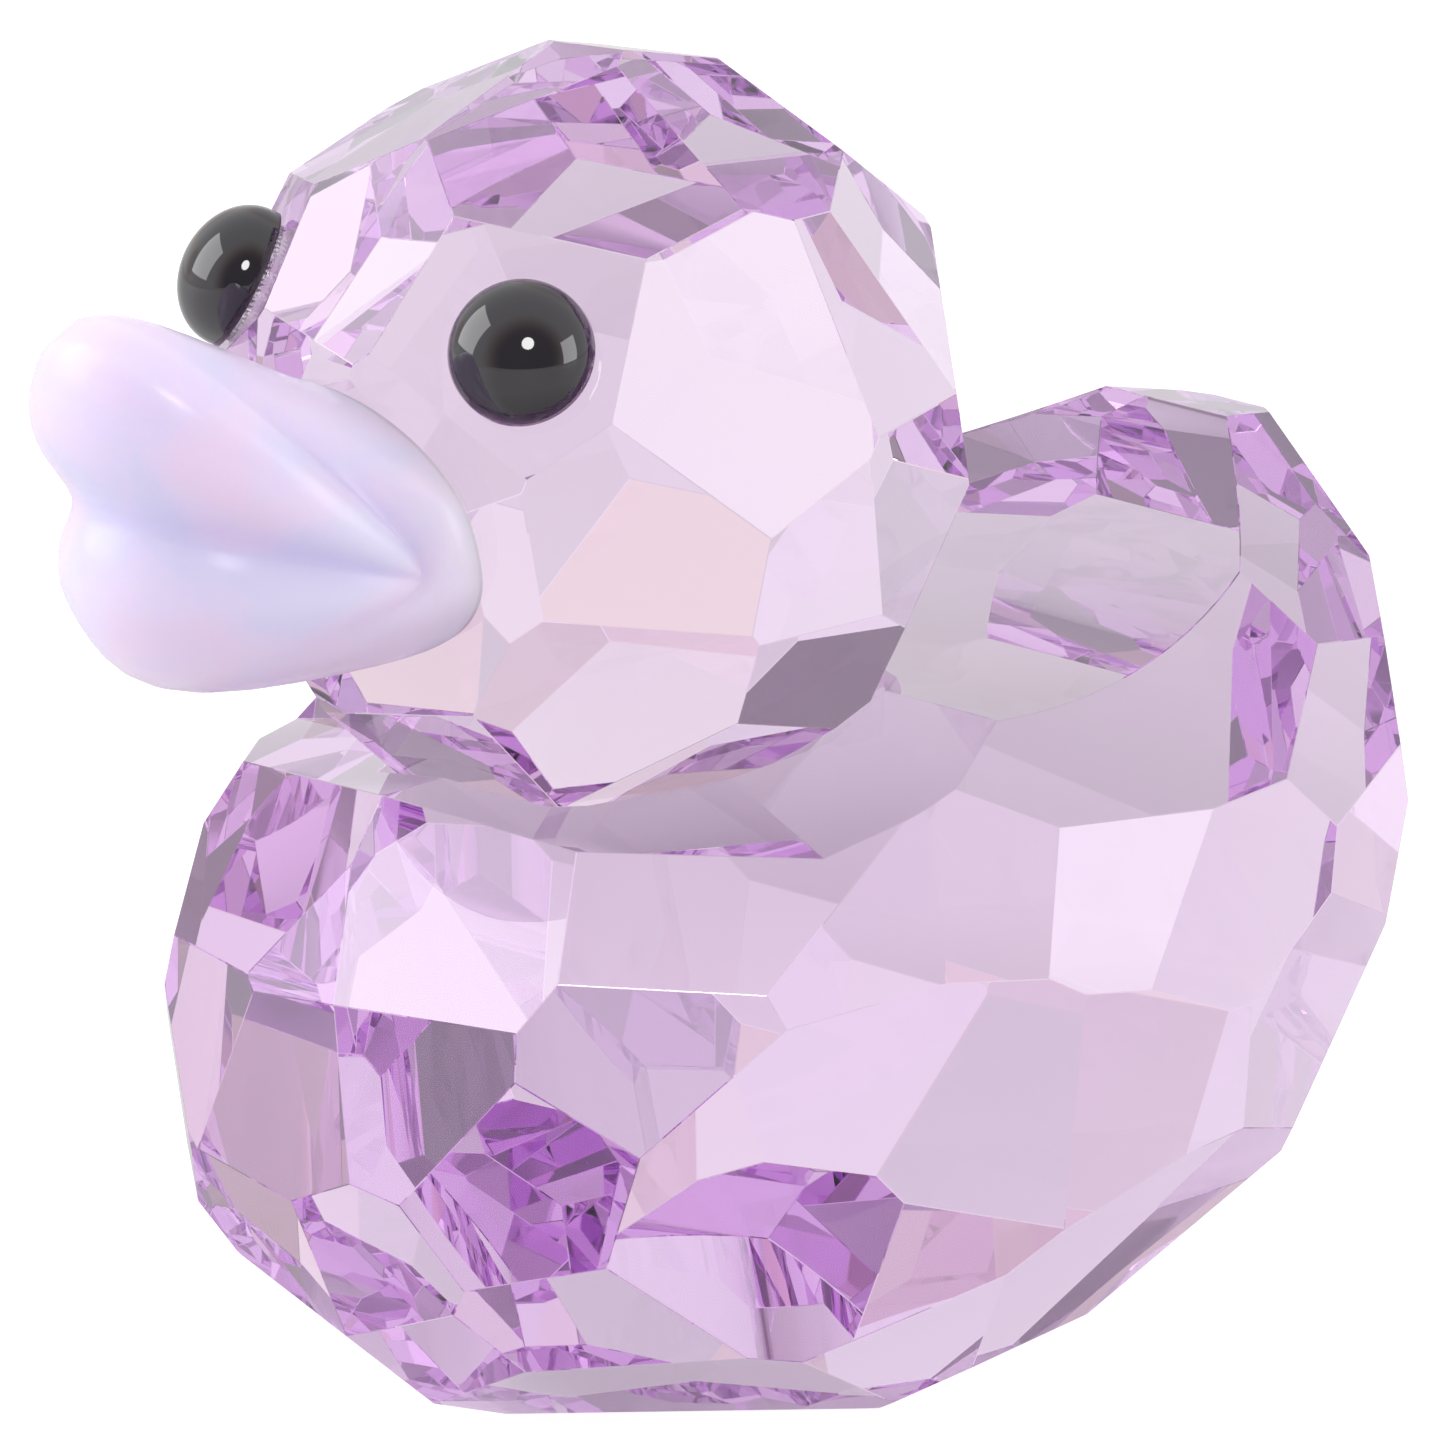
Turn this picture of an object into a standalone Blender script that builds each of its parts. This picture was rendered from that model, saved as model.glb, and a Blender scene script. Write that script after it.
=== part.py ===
# Faceted crystal duck: a cut body with a raised tail, a cut head, a smooth moulded beak and two black domed
# eyes, bonded together with clear adhesive. Lengths are in millimetres and are scaled to metres when used.
# The duck stands on z = 0, faces -Y and has its left side towards +X.

import math

import bmesh
import bpy
from mathutils import Matrix
from mathutils import Vector

MM = 0.001
WELD_MM = 0.00005
SHARP_DEG = 4.5

# Cutting centres. Every flat facet is ground square to a direction from one of these points.
BODY_CENTRE = (0.0, 0.0, 14.0)
HEAD_CENTRE = (0.0, -8.2, 29.75)
BODY_BLANK = (60.0, 60.0, 60.0)
HEAD_BLANK = (36.0, 36.0, 36.0)

# A facet is (azimuth, elevation, depth). Azimuth turns from the front (-Y) towards the duck's left (+X),
# elevation rises from level, depth is the distance of the flat from the cutting centre.
BASE_FACET = (0, -90, 14.0)
BODY_SINGLE_FACETS = (
    (-4, 5, 19.2),
    (-6, 25, 17.4),
    (36, -8, 19.1),
    (-36, -8, 19.4),
    (47, 11, 17.4),
    (-47, 11, 17.8),
    (48, 32, 15.5),
    (-48, 32, 16.4),
    (180, -55, 14.6),
    (180, -22, 16.4),
    (180, 10, 19.4),
    (180, 45, 21.6),
    (180, 82, 15.3),
)
BODY_PAIRED_FACETS = (
    (8, -25, 20.4),
    (16, 10, 18.8),
    (16, 31, 16.4),
    (22, -50, 18.7),
    (46, -42, 17.9),
    (53.5, -65, 15.6),
    (64, 20, 16.1),
    (72, -17, 15.4),
    (74, 20, 15.9),
    (86, -16, 15.6),
    (89, -48, 15.2),
    (89, 16, 15.8),
    (91, 46, 14.15),
    (96, 11, 16.0),
    (97, -17, 16.0),
    (103, -43, 14.7),
    (112, 26, 16.8),
    (112, -13, 16.2),
    (118, 3, 17.2),
    (117, 50, 16.1),
    (138, -11, 17.3),
    (142, 8, 18.5),
    (149, 33, 20.1),
    (134, -24, 16.2),
    (125, -48, 15.0),
    (113, -63, 14.8),
)

# One long shallow hollow across the back leaves the tail standing.
HOLLOW_RADIUS = 28.0
HOLLOW_AXIS_Y = -2.0
HOLLOW_AXIS_Z = 50.1
HOLLOW_SEGMENTS = 192
# Two shoulder flats lie in front of the hollow and stop at the slope that rises to it.
SHOULDER_FACET = (55, 82, 7.0)
SLOPE_FACET = (0, 65, 8.4)
WEDGE_BLANK = (80.0, 80.0, 80.0)
WEDGE_CENTRE = (0.0, 0.0, 44.0)
# The neck seat is ground to the head's own facets, this far clear of them, and ends in a flat floor.
SEAT_CLEARANCE = 0.3

HEAD_SEAT_FACET = (0, -90, 10.6)
HEAD_SINGLE_FACETS = (
    (-8, 75, 10.9),
    (46, 62, 10.5),
    (-46, 62, 10.65),
    (-160, 78, 11.4),
    (110, 64, 10.7),
    (-110, 64, 11.6),
    (78, 17, 10.5),
    (-78, 17, 10.9),
    (-4, 36, 10.7),
    (-8, 12, 10.85),
    (8, -48, 10.8),
    (180, 50, 11.3),
    (180, 20, 11.1),
    (180, -12, 10.9),
    (180, -45, 11.0),
)
HEAD_PAIRED_FACETS = (
    (22, 8, 10.95),
    (30, -11, 11.05),
    (18, -21, 10.8),
    (55, -37.5, 10.5),
    (59, -7, 10.75),
    (84, -56, 10.8),
    (93, -11, 10.95),
    (94, -35, 10.95),
    (107, 22, 10.9),
    (110, -6, 10.9),
    (128, 30, 10.75),
    (142, 8, 10.9),
    (135, -24, 10.9),
    (141, -54, 11.0),
    (157, 51, 11.1),
)
EYE_FACETS = (
    (34.5, 27, 10.65),
    (-34.5, 27, 10.95),
)
# Each eye sits a little behind the middle of its flat.
EYE_SHIFT = 0.15
EYE_DROP = 0.3
BEAK_FACET = (0, -15, 9.5)

# Adhesive films: thickness and the gap left on each face.
FILM = 0.2
FILM_GAP = 0.02
NECK_FILM_RADIUS = 3.2
EYE_FILM_RADIUS = 1.9
FILM_SEGMENTS = 64

# Eyes: a polished dome on a short straight edge, flat at the back.
EYE_RADIUS = 2.2
EYE_EDGE = 0.25
EYE_HEIGHT = 2.05
EYE_RINGS = 16
EYE_SEGMENTS = 64
EYE_SHARP_DEG = 40.0

# Beak: an oval back on the head flat, opening forward into two flared lips around a pressed mouth line.
BEAK_BACK_HALF_WIDTH = 6.7
BEAK_BACK_HALF_HEIGHT = 4.2
BEAK_BACK_MIDDLE = 28.6
BEAK_BACK_GAP_DEG = 12.0
BEAK_CORNER_Y = 19.6
BEAK_REACH = 8.5
BEAK_HALF_WIDTH = 6.35
BEAK_COLUMNS = 12
BEAK_SMOOTH_LEVELS = 2
# The beak swells a little just in front of its flat back.
BEAK_CHEEK_LIFT = 1.0
BEAK_CHEEK_SWELL = 0.3
# Rows of the lips from top to bottom: (share of the plan outline at the front, height at the mouth corner,
# rise from the corner to the front, edge sharpness).
BEAK_LIP_ROWS = (
    (0.71, 28.60, 7.25, 0.0),
    (0.87, 28.40, 7.4, 0.5),
    (0.99, 28.20, 6.9, 0.45),
    (1.06, 28.05, 5.5, 0.0),
    (1.01, 27.92, 3.8, 0.0),
    (0.82, 27.80, 2.2, 0.2),
    (0.92, 27.70, 1.1, 0.0),
    (0.92, 27.55, -0.4, 0.3),
    (0.82, 27.40, -2.0, 0.0),
    (0.62, 27.20, -3.5, 0.0),
)
BEAK_CORNER_SHARE = 0.95
# The lips part from each other this quickly as they leave the mouth corner.
BEAK_PARTING = 0.6

CRYSTAL_LILAC = (0.80, 0.62, 0.88, 1.0)
OPAL_LILAC = (0.80, 0.74, 0.93, 1.0)
BLACK = (0.012, 0.010, 0.016, 1.0)
ADHESIVE_CLEAR = (0.94, 0.93, 0.96, 1.0)


def direction(azimuth, elevation):
    a = math.radians(azimuth)
    e = math.radians(elevation)
    return Vector((math.sin(a) * math.cos(e), -math.cos(a) * math.cos(e), math.sin(e)))


def facing(azimuth, elevation):
    # Rotation that turns +Z to the facet direction and keeps local Y as upright as it can.
    return direction(azimuth, elevation).to_track_quat("Z", "Y").to_matrix().to_4x4()


def cut_flat(bm, centre, facet, keep_outer=False):
    normal = direction(facet[0], facet[1])
    point = (Vector(centre) + normal * facet[2]) * MM
    if keep_outer:
        normal = -normal
    geometry = bm.verts[:] + bm.edges[:] + bm.faces[:]
    result = bmesh.ops.bisect_plane(
        bm,
        geom=geometry,
        dist=WELD_MM * MM,
        plane_co=point,
        plane_no=normal,
        clear_outer=True,
    )
    rim = [item for item in result["geom_cut"] if isinstance(item, bmesh.types.BMEdge)]
    if rim:
        bmesh.ops.edgeloop_fill(bm, edges=rim)


def cut_pair(bm, centre, facet):
    cut_flat(bm, centre, facet)
    cut_flat(bm, centre, (-facet[0], facet[1], facet[2]))


def add_block(bm, size, centre):
    scale = Matrix.Diagonal((size[0] * MM, size[1] * MM, size[2] * MM, 1.0))
    bmesh.ops.create_cube(bm, size=1.0, matrix=Matrix.Translation(Vector(centre) * MM) @ scale)


def make_material(name, colour, roughness, transmission):
    material = bpy.data.materials.new(name)
    material.use_nodes = True
    shader = material.node_tree.nodes["Principled BSDF"]
    shader.inputs["Base Color"].default_value = colour
    shader.inputs["Roughness"].default_value = roughness
    shader.inputs["Transmission Weight"].default_value = transmission
    shader.inputs["IOR"].default_value = 1.55
    material.diffuse_color = colour
    return material


def finish(bm, name, material, smooth):
    bmesh.ops.recalc_face_normals(bm, faces=bm.faces[:])
    mesh = bpy.data.meshes.new(name)
    bm.to_mesh(mesh)
    bm.free()
    item = bpy.data.objects.new(name, mesh)
    bpy.context.scene.collection.objects.link(item)
    if material is not None:
        mesh.materials.append(material)
    if smooth:
        mesh.shade_smooth()
        mesh.set_sharp_from_angle(angle=math.radians(SHARP_DEG))
    return item


def apply_cuts(item, cutters):
    for cutter in cutters:
        cutter.hide_render = True
        cutter.display_type = "WIRE"
        modifier = item.modifiers.new("cut", "BOOLEAN")
        modifier.operation = "DIFFERENCE"
        modifier.solver = "EXACT"
        modifier.object = cutter
    depsgraph = bpy.context.evaluated_depsgraph_get()
    mesh = bpy.data.meshes.new_from_object(item.evaluated_get(depsgraph))
    item.modifiers.clear()
    item.data = mesh
    for cutter in cutters:
        bpy.data.objects.remove(cutter)
    mesh.shade_smooth()
    mesh.set_sharp_from_angle(angle=math.radians(SHARP_DEG))


def cut_head_shape(growth):
    # The head with every facet moved out by the growth.
    bm = bmesh.new()
    add_block(bm, HEAD_BLANK, HEAD_CENTRE)
    facets = [HEAD_SEAT_FACET, BEAK_FACET]
    facets.extend(HEAD_SINGLE_FACETS)
    facets.extend(EYE_FACETS)
    for azimuth, elevation, depth in HEAD_PAIRED_FACETS:
        facets.append((azimuth, elevation, depth))
        facets.append((-azimuth, elevation, depth))
    for azimuth, elevation, depth in facets:
        cut_flat(bm, HEAD_CENTRE, (azimuth, elevation, depth + growth))
    return bm


def make_body(material):
    bm = bmesh.new()
    add_block(bm, BODY_BLANK, BODY_CENTRE)
    cut_flat(bm, BODY_CENTRE, BASE_FACET)
    for facet in BODY_SINGLE_FACETS:
        cut_flat(bm, BODY_CENTRE, facet)
    for facet in BODY_PAIRED_FACETS:
        cut_pair(bm, BODY_CENTRE, facet)
    body = finish(bm, "body", material, False)
    cutters = []
    for side in (1, -1):
        bm = bmesh.new()
        add_block(bm, WEDGE_BLANK, WEDGE_CENTRE)
        shoulder = (side * SHOULDER_FACET[0], SHOULDER_FACET[1], SHOULDER_FACET[2])
        cut_flat(bm, BODY_CENTRE, shoulder, keep_outer=True)
        cut_flat(bm, BODY_CENTRE, SLOPE_FACET, keep_outer=True)
        cutters.append(finish(bm, "shoulder_cutter", None, False))
    bm = bmesh.new()
    centre = Vector((0.0, HOLLOW_AXIS_Y, HOLLOW_AXIS_Z)) * MM
    bmesh.ops.create_cone(
        bm,
        cap_ends=True,
        segments=HOLLOW_SEGMENTS,
        radius1=HOLLOW_RADIUS * MM,
        radius2=HOLLOW_RADIUS * MM,
        depth=BODY_BLANK[0] * MM,
        matrix=Matrix.Translation(centre) @ Matrix.Rotation(math.radians(90), 4, "Y"),
    )
    cutters.append(finish(bm, "hollow_cutter", None, False))
    cutters.append(finish(cut_head_shape(SEAT_CLEARANCE), "seat_cutter", None, False))
    apply_cuts(body, cutters)
    return body


def make_head(material):
    bm = cut_head_shape(0.0)
    bm.normal_update()
    eye_spots = []
    for facet in EYE_FACETS:
        normal = direction(facet[0], facet[1])
        flat = max(bm.faces, key=lambda face: face.normal.dot(normal))
        along = Vector((0.0, 0.0, 1.0)).cross(normal).normalized()
        up = normal.cross(along)
        side = math.copysign(1.0, facet[0])
        eye_spots.append(flat.calc_center_median() / MM + along * side * EYE_SHIFT - up * EYE_DROP)
    return finish(bm, "head", material, False), eye_spots


def make_disc(name, material, radius, thickness, frame):
    bm = bmesh.new()
    bmesh.ops.create_cone(
        bm,
        cap_ends=True,
        segments=FILM_SEGMENTS,
        radius1=radius * MM,
        radius2=radius * MM,
        depth=thickness * MM,
        matrix=frame,
    )
    return finish(bm, name, material, False)


def make_eye(name, material, spot, facet):
    # Half profile turned about the facet direction.
    bm = bmesh.new()
    profile = [(0.0, 0.0), (EYE_RADIUS, 0.0), (EYE_RADIUS, EYE_EDGE)]
    dome = EYE_HEIGHT - EYE_EDGE
    for i in range(1, EYE_RINGS + 1):
        angle = math.radians(90.0 * i / EYE_RINGS)
        profile.append((EYE_RADIUS * math.cos(angle), EYE_EDGE + dome * math.sin(angle)))
    verts = [bm.verts.new((r * MM, 0.0, z * MM)) for r, z in profile]
    edges = [bm.edges.new((verts[i], verts[i + 1])) for i in range(len(verts) - 1)]
    bmesh.ops.spin(
        bm,
        geom=verts + edges,
        cent=(0.0, 0.0, 0.0),
        axis=(0.0, 0.0, 1.0),
        angle=math.radians(360.0),
        steps=EYE_SEGMENTS,
        use_merge=True,
    )
    bmesh.ops.remove_doubles(bm, verts=bm.verts[:], dist=WELD_MM * MM)
    lift = facet[0] * (FILM + 2 * FILM_GAP)
    bmesh.ops.transform(bm, matrix=Matrix.Translation((spot + lift) * MM) @ facet[1], verts=bm.verts[:])
    item = finish(bm, name, material, False)
    item.data.shade_smooth()
    item.data.set_sharp_from_angle(angle=math.radians(EYE_SHARP_DEG))
    return item


def beak_plane_y(height, extra):
    # Distance forward of a point on a plane parallel to the beak seat, at the given height.
    tilt = math.radians(BEAK_FACET[1])
    rise = (height - HEAD_CENTRE[2]) * math.sin(tilt)
    return -HEAD_CENTRE[1] + (BEAK_FACET[2] + extra - rise) / math.cos(tilt)


def beak_back_ring(angle, extra, shrink=0.0):
    x = (BEAK_BACK_HALF_WIDTH - shrink) * math.cos(angle)
    z = BEAK_BACK_MIDDLE + (BEAK_BACK_HALF_HEIGHT - shrink) * math.sin(angle)
    return Vector((x, -beak_plane_y(z, extra), z))


def make_beak(material):
    bm = bmesh.new()
    extra = FILM + 2 * FILM_GAP
    grid = []
    for column in range(BEAK_COLUMNS + 1):
        turn = math.radians(180.0 * column / BEAK_COLUMNS - 90.0)
        side = math.sin(turn)
        front = math.cos(turn)
        arc = math.radians(90.0 - math.degrees(turn) * (90.0 - BEAK_BACK_GAP_DEG) / 90.0)
        lift = extra + BEAK_CHEEK_LIFT
        parting = max(front, 0.0) ** BEAK_PARTING
        points = [beak_back_ring(arc, extra), beak_back_ring(arc, lift, -BEAK_CHEEK_SWELL)]
        for front_share, height, rise, _ in BEAK_LIP_ROWS:
            share = BEAK_CORNER_SHARE + (front_share - BEAK_CORNER_SHARE) * parting
            x = BEAK_HALF_WIDTH * share * side
            y = BEAK_CORNER_Y + BEAK_REACH * share * front
            points.append(Vector((x, -y, height + rise * front)))
        points.append(beak_back_ring(-arc, lift, -BEAK_CHEEK_SWELL))
        points.append(beak_back_ring(-arc, extra))
        grid.append([bm.verts.new(p * MM) for p in points])
    rows = len(grid[0])
    for a, b in zip(grid, grid[1:]):
        for i in range(rows - 1):
            bm.faces.new((a[i], a[i + 1], b[i + 1], b[i]))
    # Close the two mouth corners and the flat back.
    for column in (grid[0], grid[-1]):
        half = rows // 2
        for i in range(half - 1):
            bm.faces.new((column[i], column[i + 1], column[rows - 2 - i], column[rows - 1 - i]))
    back = [column[0] for column in grid] + [column[-1] for column in reversed(grid)]
    bm.faces.new(back)
    bmesh.ops.recalc_face_normals(bm, faces=bm.faces[:])
    crease = bm.edges.layers.float.new("crease_edge")
    for vert in back:
        for edge in vert.link_edges:
            if edge.other_vert(vert) in back and any(len(face.verts) > 4 for face in edge.link_faces):
                edge[crease] = 1.0
    for a, b in zip(grid, grid[1:]):
        for i, row in enumerate(BEAK_LIP_ROWS):
            bm.edges.get((a[i + 2], b[i + 2]))[crease] = row[3]
    item = finish(bm, "beak", material, False)
    modifier = item.modifiers.new("smooth", "SUBSURF")
    modifier.levels = BEAK_SMOOTH_LEVELS
    modifier.render_levels = BEAK_SMOOTH_LEVELS
    modifier.boundary_smooth = "PRESERVE_CORNERS"
    item.data.shade_smooth()
    return item


def make_beak_film(material):
    bm = bmesh.new()
    rings = []
    for extra in (FILM_GAP, FILM_GAP + FILM):
        ring = []
        for i in range(FILM_SEGMENTS):
            angle = math.radians(360.0 * i / FILM_SEGMENTS)
            ring.append(bm.verts.new(beak_back_ring(angle, extra, shrink=0.6) * MM))
        rings.append(ring)
    for ring in rings:
        bm.faces.new(ring)
    for i in range(FILM_SEGMENTS):
        j = (i + 1) % FILM_SEGMENTS
        bm.faces.new((rings[0][i], rings[0][j], rings[1][j], rings[1][i]))
    return finish(bm, "beak_bond", material, False)


def main():
    for item in list(bpy.data.objects):
        bpy.data.objects.remove(item)
    crystal = make_material("lilac_crystal", CRYSTAL_LILAC, 0.0, 1.0)
    opal = make_material("opal_lilac_glass", OPAL_LILAC, 0.12, 0.15)
    black = make_material("black_glass", BLACK, 0.03, 0.0)
    clear = make_material("clear_adhesive", ADHESIVE_CLEAR, 0.05, 1.0)
    make_body(crystal)
    head, eye_spots = make_head(crystal)
    head_bottom = HEAD_CENTRE[2] - HEAD_SEAT_FACET[2]
    neck_film = SEAT_CLEARANCE - 2 * FILM_GAP
    neck_middle = Vector((0.0, HEAD_CENTRE[1], head_bottom - SEAT_CLEARANCE / 2))
    neck = Matrix.Translation(neck_middle * MM)
    make_disc("neck_bond", clear, NECK_FILM_RADIUS, neck_film, neck)
    make_beak(opal)
    make_beak_film(clear)
    for label, facet, spot in zip(("left", "right"), EYE_FACETS, eye_spots):
        normal = direction(facet[0], facet[1])
        turned = facing(facet[0], facet[1])
        make_eye("eye_" + label, black, spot, (normal, turned))
        middle = spot + normal * (FILM_GAP + FILM / 2)
        frame = Matrix.Translation(middle * MM) @ turned
        make_disc("eye_bond_" + label, clear, EYE_FILM_RADIUS, FILM, frame)


main()
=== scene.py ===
import math

import bmesh
import bpy
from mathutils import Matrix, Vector


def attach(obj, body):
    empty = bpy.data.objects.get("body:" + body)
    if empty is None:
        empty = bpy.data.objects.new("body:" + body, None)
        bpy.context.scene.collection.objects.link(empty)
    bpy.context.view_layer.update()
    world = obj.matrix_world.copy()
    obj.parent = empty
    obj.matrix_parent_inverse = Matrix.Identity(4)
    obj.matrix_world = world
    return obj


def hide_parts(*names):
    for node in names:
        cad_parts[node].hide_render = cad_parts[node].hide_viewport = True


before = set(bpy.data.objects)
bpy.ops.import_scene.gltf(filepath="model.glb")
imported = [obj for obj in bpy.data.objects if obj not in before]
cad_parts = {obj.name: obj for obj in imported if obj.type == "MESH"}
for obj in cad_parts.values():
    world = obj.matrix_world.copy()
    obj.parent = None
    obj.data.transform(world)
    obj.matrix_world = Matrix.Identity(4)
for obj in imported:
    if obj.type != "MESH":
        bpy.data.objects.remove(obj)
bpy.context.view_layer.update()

scene = bpy.context.scene
scene.view_settings.view_transform = "Standard"
# Light crosses the glass many times before it leaves.
glass_crossings = 28
scene.cycles.max_bounces = glass_crossings
scene.cycles.transmission_bounces = glass_crossings
scene.cycles.glossy_bounces = glass_crossings


# The studio: a long lens far back, a little above the duck and off its left side. Everything is bright
# behind and beside the duck and darker around the camera.
def heading(azimuth, elevation):
    # Azimuth turns from the duck's front (-Y) towards its left (+X); elevation rises from level.
    a = math.radians(azimuth)
    e = math.radians(elevation)
    return Vector((math.sin(a) * math.cos(e), -math.cos(a) * math.cos(e), math.sin(e)))


camera_heading = heading(50.0, 13.0)
camera_distance = 0.9
framed_width = 0.0435
aim = Vector((0.00014, -0.00313, 0.01997))
lens_data = bpy.data.cameras.new("camera")
lens_data.sensor_width = 36.0
lens_data.lens = lens_data.sensor_width * camera_distance / framed_width
camera = bpy.data.objects.new("camera", lens_data)
scene.collection.objects.link(camera)
camera.location = aim + camera_heading * camera_distance
camera.rotation_euler = camera_heading.to_track_quat("Z", "Y").to_euler()
scene.camera = camera

# The surround is a white sweep. Each zone dims or brightens it softly around one heading:
# (azimuth, elevation, angle where it starts, angle where it is full, brightness). Glass bends blue more than
# red, so a cut facet sees each zone's edge at a slightly different angle in each colour.
surround_white = (0.99, 0.99, 1.0, 1.0)
colour_spread = 2.0
zones = (
    (50.0, 10.0, 66.0, 34.0, 0.30),
    (-30.0, 0.0, 48.0, 25.0, 1.08),
    (-76.0, 9.0, 12.0, 7.0, 0.78),
    (-112.0, 12.0, 13.0, 8.0, 0.82),
    (-150.0, 30.0, 24.0, 14.0, 0.76),
)
surround = bpy.data.worlds.new("studio_surround")
scene.world = surround
surround.use_nodes = True
nodes = surround.node_tree.nodes
links = surround.node_tree.links
nodes.clear()
where = nodes.new("ShaderNodeTexCoord")
white = nodes.new("ShaderNodeRGB")
white.outputs[0].default_value = surround_white
brightness = white.outputs[0]
for azimuth, elevation, start, full, level in zones:
    nearness = nodes.new("ShaderNodeVectorMath")
    nearness.operation = "DOT_PRODUCT"
    nearness.inputs[1].default_value = heading(azimuth, elevation)
    links.new(where.outputs["Generated"], nearness.inputs[0])
    colours = nodes.new("ShaderNodeCombineColor")
    for shift, channel in ((-colour_spread, "Red"), (0.0, "Green"), (colour_spread, "Blue")):
        edge = nodes.new("ShaderNodeMapRange")
        edge.interpolation_type = "SMOOTHSTEP"
        edge.inputs["From Min"].default_value = math.cos(math.radians(start + shift))
        edge.inputs["From Max"].default_value = math.cos(math.radians(full + shift))
        edge.inputs["To Min"].default_value = 1.0
        edge.inputs["To Max"].default_value = level
        links.new(nearness.outputs["Value"], edge.inputs["Value"])
        links.new(edge.outputs["Result"], colours.inputs[channel])
    dimmed = nodes.new("ShaderNodeVectorMath")
    dimmed.operation = "MULTIPLY"
    links.new(brightness, dimmed.inputs[0])
    links.new(colours.outputs["Color"], dimmed.inputs[1])
    brightness = dimmed.outputs["Vector"]
glow = nodes.new("ShaderNodeBackground")
links.new(brightness, glow.inputs["Color"])
world_out = nodes.new("ShaderNodeOutputWorld")
links.new(glow.outputs["Background"], world_out.inputs["Surface"])

# Three soft lamps: a square panel on each side and a small round one above the camera, each as (name,
# azimuth, elevation, distance, size, watts). They are off for light that has crossed the glass, so that no
# facet shows one as a blank white patch.
lamps = (
    ("panel_right_side", -47.0, 28.0, 0.50, 0.36, 1.10),
    ("panel_left_side", 119.0, 14.0, 0.50, 0.26, 0.60),
    ("round_above_camera", 50.0, 33.5, 0.80, 0.22, 1.5),
)
for lamp_name, azimuth, elevation, distance, size, power in lamps:
    lamp_data = bpy.data.lights.new(lamp_name, "AREA")
    lamp_data.shape = "DISK" if "round" in lamp_name else "SQUARE"
    lamp_data.size = size
    lamp_data.energy = power
    lamp = bpy.data.objects.new(lamp_name, lamp_data)
    lamp.visible_transmission = False
    lamp.location = aim + heading(azimuth, elevation) * distance
    lamp.rotation_euler = heading(azimuth, elevation).to_track_quat("Z", "Y").to_euler()
    scene.collection.objects.link(lamp)

# Plain white table top, lit from below as well, so that hardly any shadow shows. For light that reaches the
# glass, this glow from below is painted light. A painted shadow dims it near the duck, and the glow grows
# with the distance from the duck. A painted pool of light makes it strongest towards the duck's front right.
# The camera sees an even glow.
table_radius = 1.6
table_drop = 0.00005
bright_heading = -33.0
bright_start_degrees = 48.0
bright_full_degrees = 16.0
painted_shadow_glow = 0.15
glow_past_painted_shadow = 0.40
painted_light_pool_glow = 0.6
glow_to_camera = 0.85
bm = bmesh.new()
bmesh.ops.create_circle(bm, cap_ends=True, segments=96, radius=table_radius)
bmesh.ops.translate(bm, verts=bm.verts[:], vec=(0.0, 0.0, -table_drop))
floor_mesh = bpy.data.meshes.new("floor")
bm.to_mesh(floor_mesh)
bm.free()
floor = bpy.data.objects.new("floor", floor_mesh)
scene.collection.objects.link(floor)
table_white = bpy.data.materials.new("table_white")
table_white.use_nodes = True
nodes = table_white.node_tree.nodes
links = table_white.node_tree.links
shader = nodes["Principled BSDF"]
shader.inputs["Base Color"].default_value = (0.40, 0.40, 0.40, 1.0)
shader.inputs["Roughness"].default_value = 0.6
shader.inputs["Specular IOR Level"].default_value = 0.1
shader.inputs["Emission Color"].default_value = (1.0, 1.0, 1.0, 1.0)
spot = nodes.new("ShaderNodeTexCoord")
outward = nodes.new("ShaderNodeVectorMath")
outward.operation = "NORMALIZE"
links.new(spot.outputs["Object"], outward.inputs[0])
toward_bright = nodes.new("ShaderNodeVectorMath")
toward_bright.operation = "DOT_PRODUCT"
toward_bright.inputs[1].default_value = heading(bright_heading, 0.0)
links.new(outward.outputs["Vector"], toward_bright.inputs[0])
# Painted pool of light: the glow is raised towards the duck's front right.
painted_light_pool_mask = nodes.new("ShaderNodeMapRange")
painted_light_pool_mask.interpolation_type = "SMOOTHSTEP"
painted_light_pool_mask.inputs["From Min"].default_value = math.cos(math.radians(bright_start_degrees))
painted_light_pool_mask.inputs["From Max"].default_value = math.cos(math.radians(bright_full_degrees))
links.new(toward_bright.outputs["Value"], painted_light_pool_mask.inputs["Value"])
distance_out = nodes.new("ShaderNodeVectorMath")
distance_out.operation = "LENGTH"
links.new(spot.outputs["Object"], distance_out.inputs[0])
# Painted shadow: the glow is dimmed close to the duck, where its shadow falls, and grows with the distance.
painted_shadow_falloff = nodes.new("ShaderNodeMapRange")
painted_shadow_falloff.inputs["From Min"].default_value = 0.015
painted_shadow_falloff.inputs["From Max"].default_value = 0.060
painted_shadow_falloff.inputs["To Min"].default_value = painted_shadow_glow
painted_shadow_falloff.inputs["To Max"].default_value = glow_past_painted_shadow
links.new(distance_out.outputs["Value"], painted_shadow_falloff.inputs["Value"])
# The painted shadow and the painted pool of light together make the glow seen from the glass.
painted_floor_glow = nodes.new("ShaderNodeMix")
painted_floor_glow.inputs["B"].default_value = painted_light_pool_glow
links.new(painted_light_pool_mask.outputs["Result"], painted_floor_glow.inputs["Factor"])
links.new(painted_shadow_falloff.outputs["Result"], painted_floor_glow.inputs["A"])
seen_by = nodes.new("ShaderNodeLightPath")
lift = nodes.new("ShaderNodeMix")
lift.inputs["B"].default_value = glow_to_camera
links.new(seen_by.outputs["Is Camera Ray"], lift.inputs["Factor"])
links.new(painted_floor_glow.outputs["Result"], lift.inputs["A"])
links.new(lift.outputs["Result"], shader.inputs["Emission Strength"])
floor_mesh.materials.append(table_white)


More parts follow.
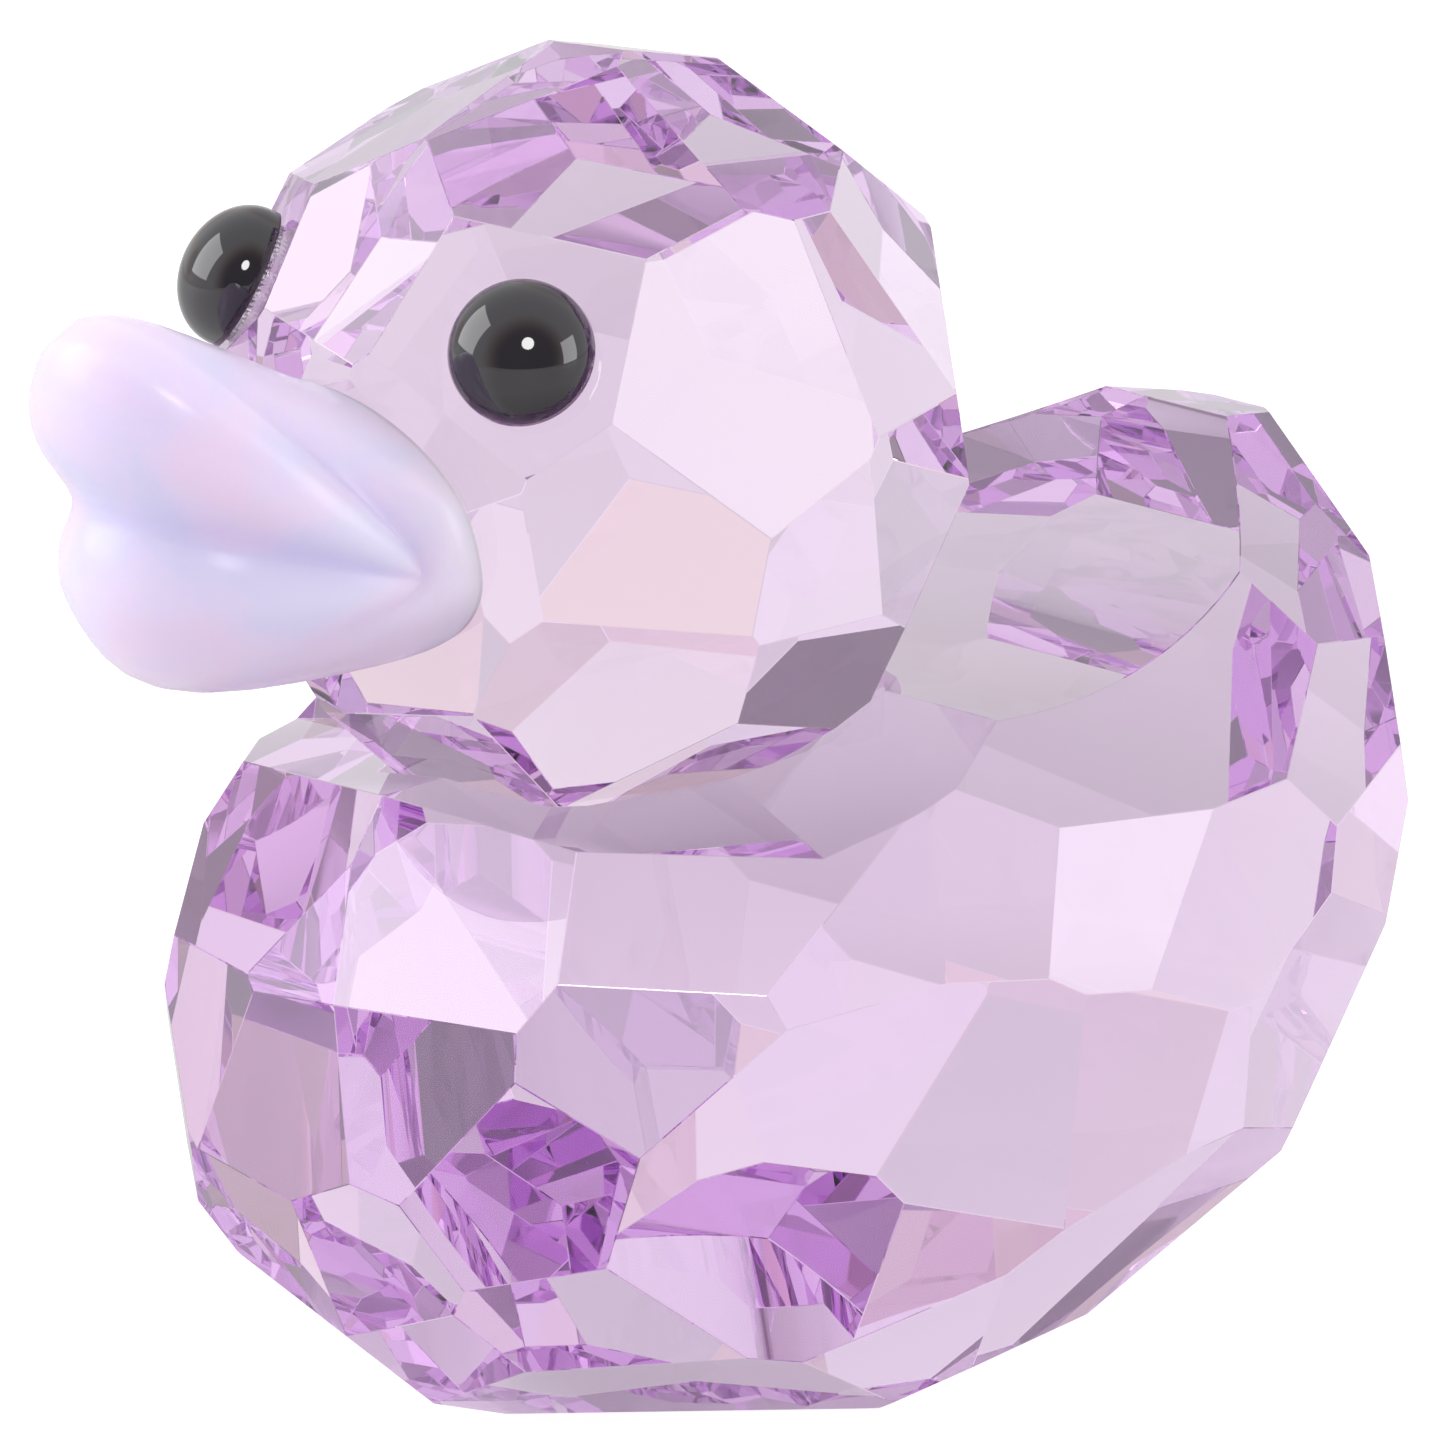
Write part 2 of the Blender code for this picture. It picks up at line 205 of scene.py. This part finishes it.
# Body and head: clear lilac crystal, sawn and ground to flat facets and polished. The grinding leaves a
# hair-wide flat on each edge. The head sits in a seat on the neck that is ground to its own facets, and is
# glued there.
def merged_copy(node):
    bm = bmesh.new()
    bm.from_mesh(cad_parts[node].data)
    weld = 0.000002
    bmesh.ops.remove_doubles(bm, verts=bm.verts[:], dist=weld)
    bmesh.ops.dissolve_degenerate(bm, edges=bm.edges[:], dist=weld)
    bm.normal_update()
    return bm


def place(bm, name, node, material, sharp_degrees):
    mesh = bpy.data.meshes.new(name)
    bm.to_mesh(mesh)
    bm.free()
    mesh.materials.append(material)
    mesh.shade_smooth()
    mesh.set_sharp_from_angle(angle=math.radians(sharp_degrees))
    piece = bpy.data.objects.new(name, mesh)
    scene.collection.objects.link(piece)
    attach(piece, "root")
    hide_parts(node)
    return piece


def object_noise(material, scale, detail):
    nodes = material.node_tree.nodes
    links = material.node_tree.links
    spot = nodes.new("ShaderNodeTexCoord")
    noise = nodes.new("ShaderNodeTexNoise")
    noise.inputs["Scale"].default_value = scale
    noise.inputs["Detail"].default_value = detail
    links.new(spot.outputs["Object"], noise.inputs["Vector"])
    return noise


def uneven_polish(material, noise, noise_range, roughness_range):
    nodes = material.node_tree.nodes
    links = material.node_tree.links
    spread = nodes.new("ShaderNodeMapRange")
    spread.inputs["From Min"].default_value = noise_range[0]
    spread.inputs["From Max"].default_value = noise_range[1]
    spread.inputs["To Min"].default_value = roughness_range[0]
    spread.inputs["To Max"].default_value = roughness_range[1]
    links.new(noise.outputs["Fac"], spread.inputs["Value"])
    links.new(spread.outputs["Result"], nodes["Principled BSDF"].inputs["Roughness"])


def noise_colours(material, noise, stops):
    # Each stop is (position, colour); the first and last are the ramp's own two.
    nodes = material.node_tree.nodes
    links = material.node_tree.links
    colours = nodes.new("ShaderNodeValToRGB")
    elements = colours.color_ramp.elements
    elements[0].position, elements[0].color = stops[0]
    elements[1].position, elements[1].color = stops[-1]
    for position, colour in stops[1:-1]:
        elements.new(position).color = colour
    links.new(noise.outputs["Fac"], colours.inputs["Fac"])
    links.new(colours.outputs["Color"], nodes["Principled BSDF"].inputs["Base Color"])


lilac_crystal = bpy.data.materials.new("lilac_crystal")
lilac_crystal.use_nodes = True
nodes = lilac_crystal.node_tree.nodes
links = lilac_crystal.node_tree.links
shader = nodes["Principled BSDF"]
shader.inputs["IOR"].default_value = 1.56
shader.inputs["Transmission Weight"].default_value = 1.0
melt_stops = (
    (0.35, (0.955, 0.855, 0.968, 1.0)),
    (0.65, (0.960, 0.885, 0.974, 1.0)),
)
noise_colours(lilac_crystal, object_noise(lilac_crystal, 55.0, 2.0), melt_stops)
uneven_polish(lilac_crystal, object_noise(lilac_crystal, 700.0, 2.0), (0.4, 0.7), (0.0, 0.012))
tint = nodes.new("ShaderNodeVolumeAbsorption")
tint.inputs["Color"].default_value = (0.57, 0.0, 0.70, 1.0)
tint.inputs["Density"].default_value = 8.0
links.new(tint.outputs["Volume"], nodes["Material Output"].inputs["Volume"])

facet_edge = 0.000022
sliver = 0.00005
same_facet_angle = math.radians(0.4)
cut_angle = math.radians(2.5)
for node, label in (("body", "cut_body"), ("head", "cut_head")):
    bm = merged_copy(node)
    bmesh.ops.dissolve_limit(
        bm,
        angle_limit=same_facet_angle,
        use_dissolve_boundaries=False,
        verts=bm.verts[:],
        edges=bm.edges[:],
    )
    bmesh.ops.remove_doubles(bm, verts=bm.verts[:], dist=sliver)
    bm.normal_update()
    bmesh.ops.bevel(
        bm,
        geom=[edge for edge in bm.edges if edge.calc_face_angle() > cut_angle],
        offset=facet_edge,
        offset_type="OFFSET",
        segments=1,
        profile=0.5,
        affect="EDGES",
        material=-1,
        clamp_overlap=False,
    )
    bm.normal_update()
    piece = place(bm, label, node, lilac_crystal, 2.1)


# Beak: one piece of milky lilac opal glass, moulded smooth with a pressed mouth line and clouded by fine
# bluish and pinkish patches. It is glued to the flat on the front of the head.
opal = bpy.data.materials.new("opal_lilac_glass")
opal.use_nodes = True
shader = opal.node_tree.nodes["Principled BSDF"]
shader.inputs["Roughness"].default_value = 0.24
shader.inputs["IOR"].default_value = 1.5
shader.inputs["Specular IOR Level"].default_value = 0.3
shader.inputs["Subsurface Weight"].default_value = 0.9
shader.inputs["Subsurface Radius"].default_value = (1.0, 0.85, 1.1)
shader.inputs["Subsurface Scale"].default_value = 0.003
milk_stops = (
    (0.36, (0.67, 0.64, 0.84, 1.0)),
    (0.50, (0.73, 0.645, 0.84, 1.0)),
    (0.66, (0.77, 0.64, 0.82, 1.0)),
)
cloud = object_noise(opal, 150.0, 4.0)
cloud.inputs["Distortion"].default_value = 1.2
noise_colours(opal, cloud, milk_stops)
piece = place(merged_copy("beak"), "moulded_beak", "beak", opal, 55.0)


# Eyes: two small domes of black glass, pressed and fire-polished, with a faint unevenness in the polish. Each
# is glued by its flat back to a facet of the head.
black = bpy.data.materials.new("black_glass")
black.use_nodes = True
black.node_tree.nodes["Principled BSDF"].inputs["IOR"].default_value = 1.70
wear = object_noise(black, 900.0, 3.0)
uneven_polish(black, wear, (0.0, 1.0), (0.01, 0.07))
dark_stops = (
    (0.0, (0.004, 0.003, 0.006, 1.0)),
    (1.0, (0.010, 0.005, 0.014, 1.0)),
)
noise_colours(black, wear, dark_stops)
for side in ("left", "right"):
    piece = place(merged_copy("eye_" + side), "dome_eye_" + side, "eye_" + side, black, 40.0)


# Adhesive: a clear film, spread thin and cured between each pair of flats. Its faint lilac tint is painted
# light, the crystal's colour cast painted into the film's own colour. It has a slightly rippled surface.
clear = bpy.data.materials.new("clear_adhesive")
clear.use_nodes = True
shader = clear.node_tree.nodes["Principled BSDF"]
# Painted light: the faint lilac is the crystal's colour cast, painted into the clear film.
shader.inputs["Base Color"].default_value = (0.95, 0.90, 0.97, 1.0)
shader.inputs["IOR"].default_value = 1.5
shader.inputs["Transmission Weight"].default_value = 1.0
uneven_polish(clear, object_noise(clear, 1200.0, 2.0), (0.0, 1.0), (0.02, 0.10))
for node in ("neck_bond", "beak_bond", "eye_bond_left", "eye_bond_right"):
    piece = place(merged_copy(node), node + "_film", node, clear, 30.0)
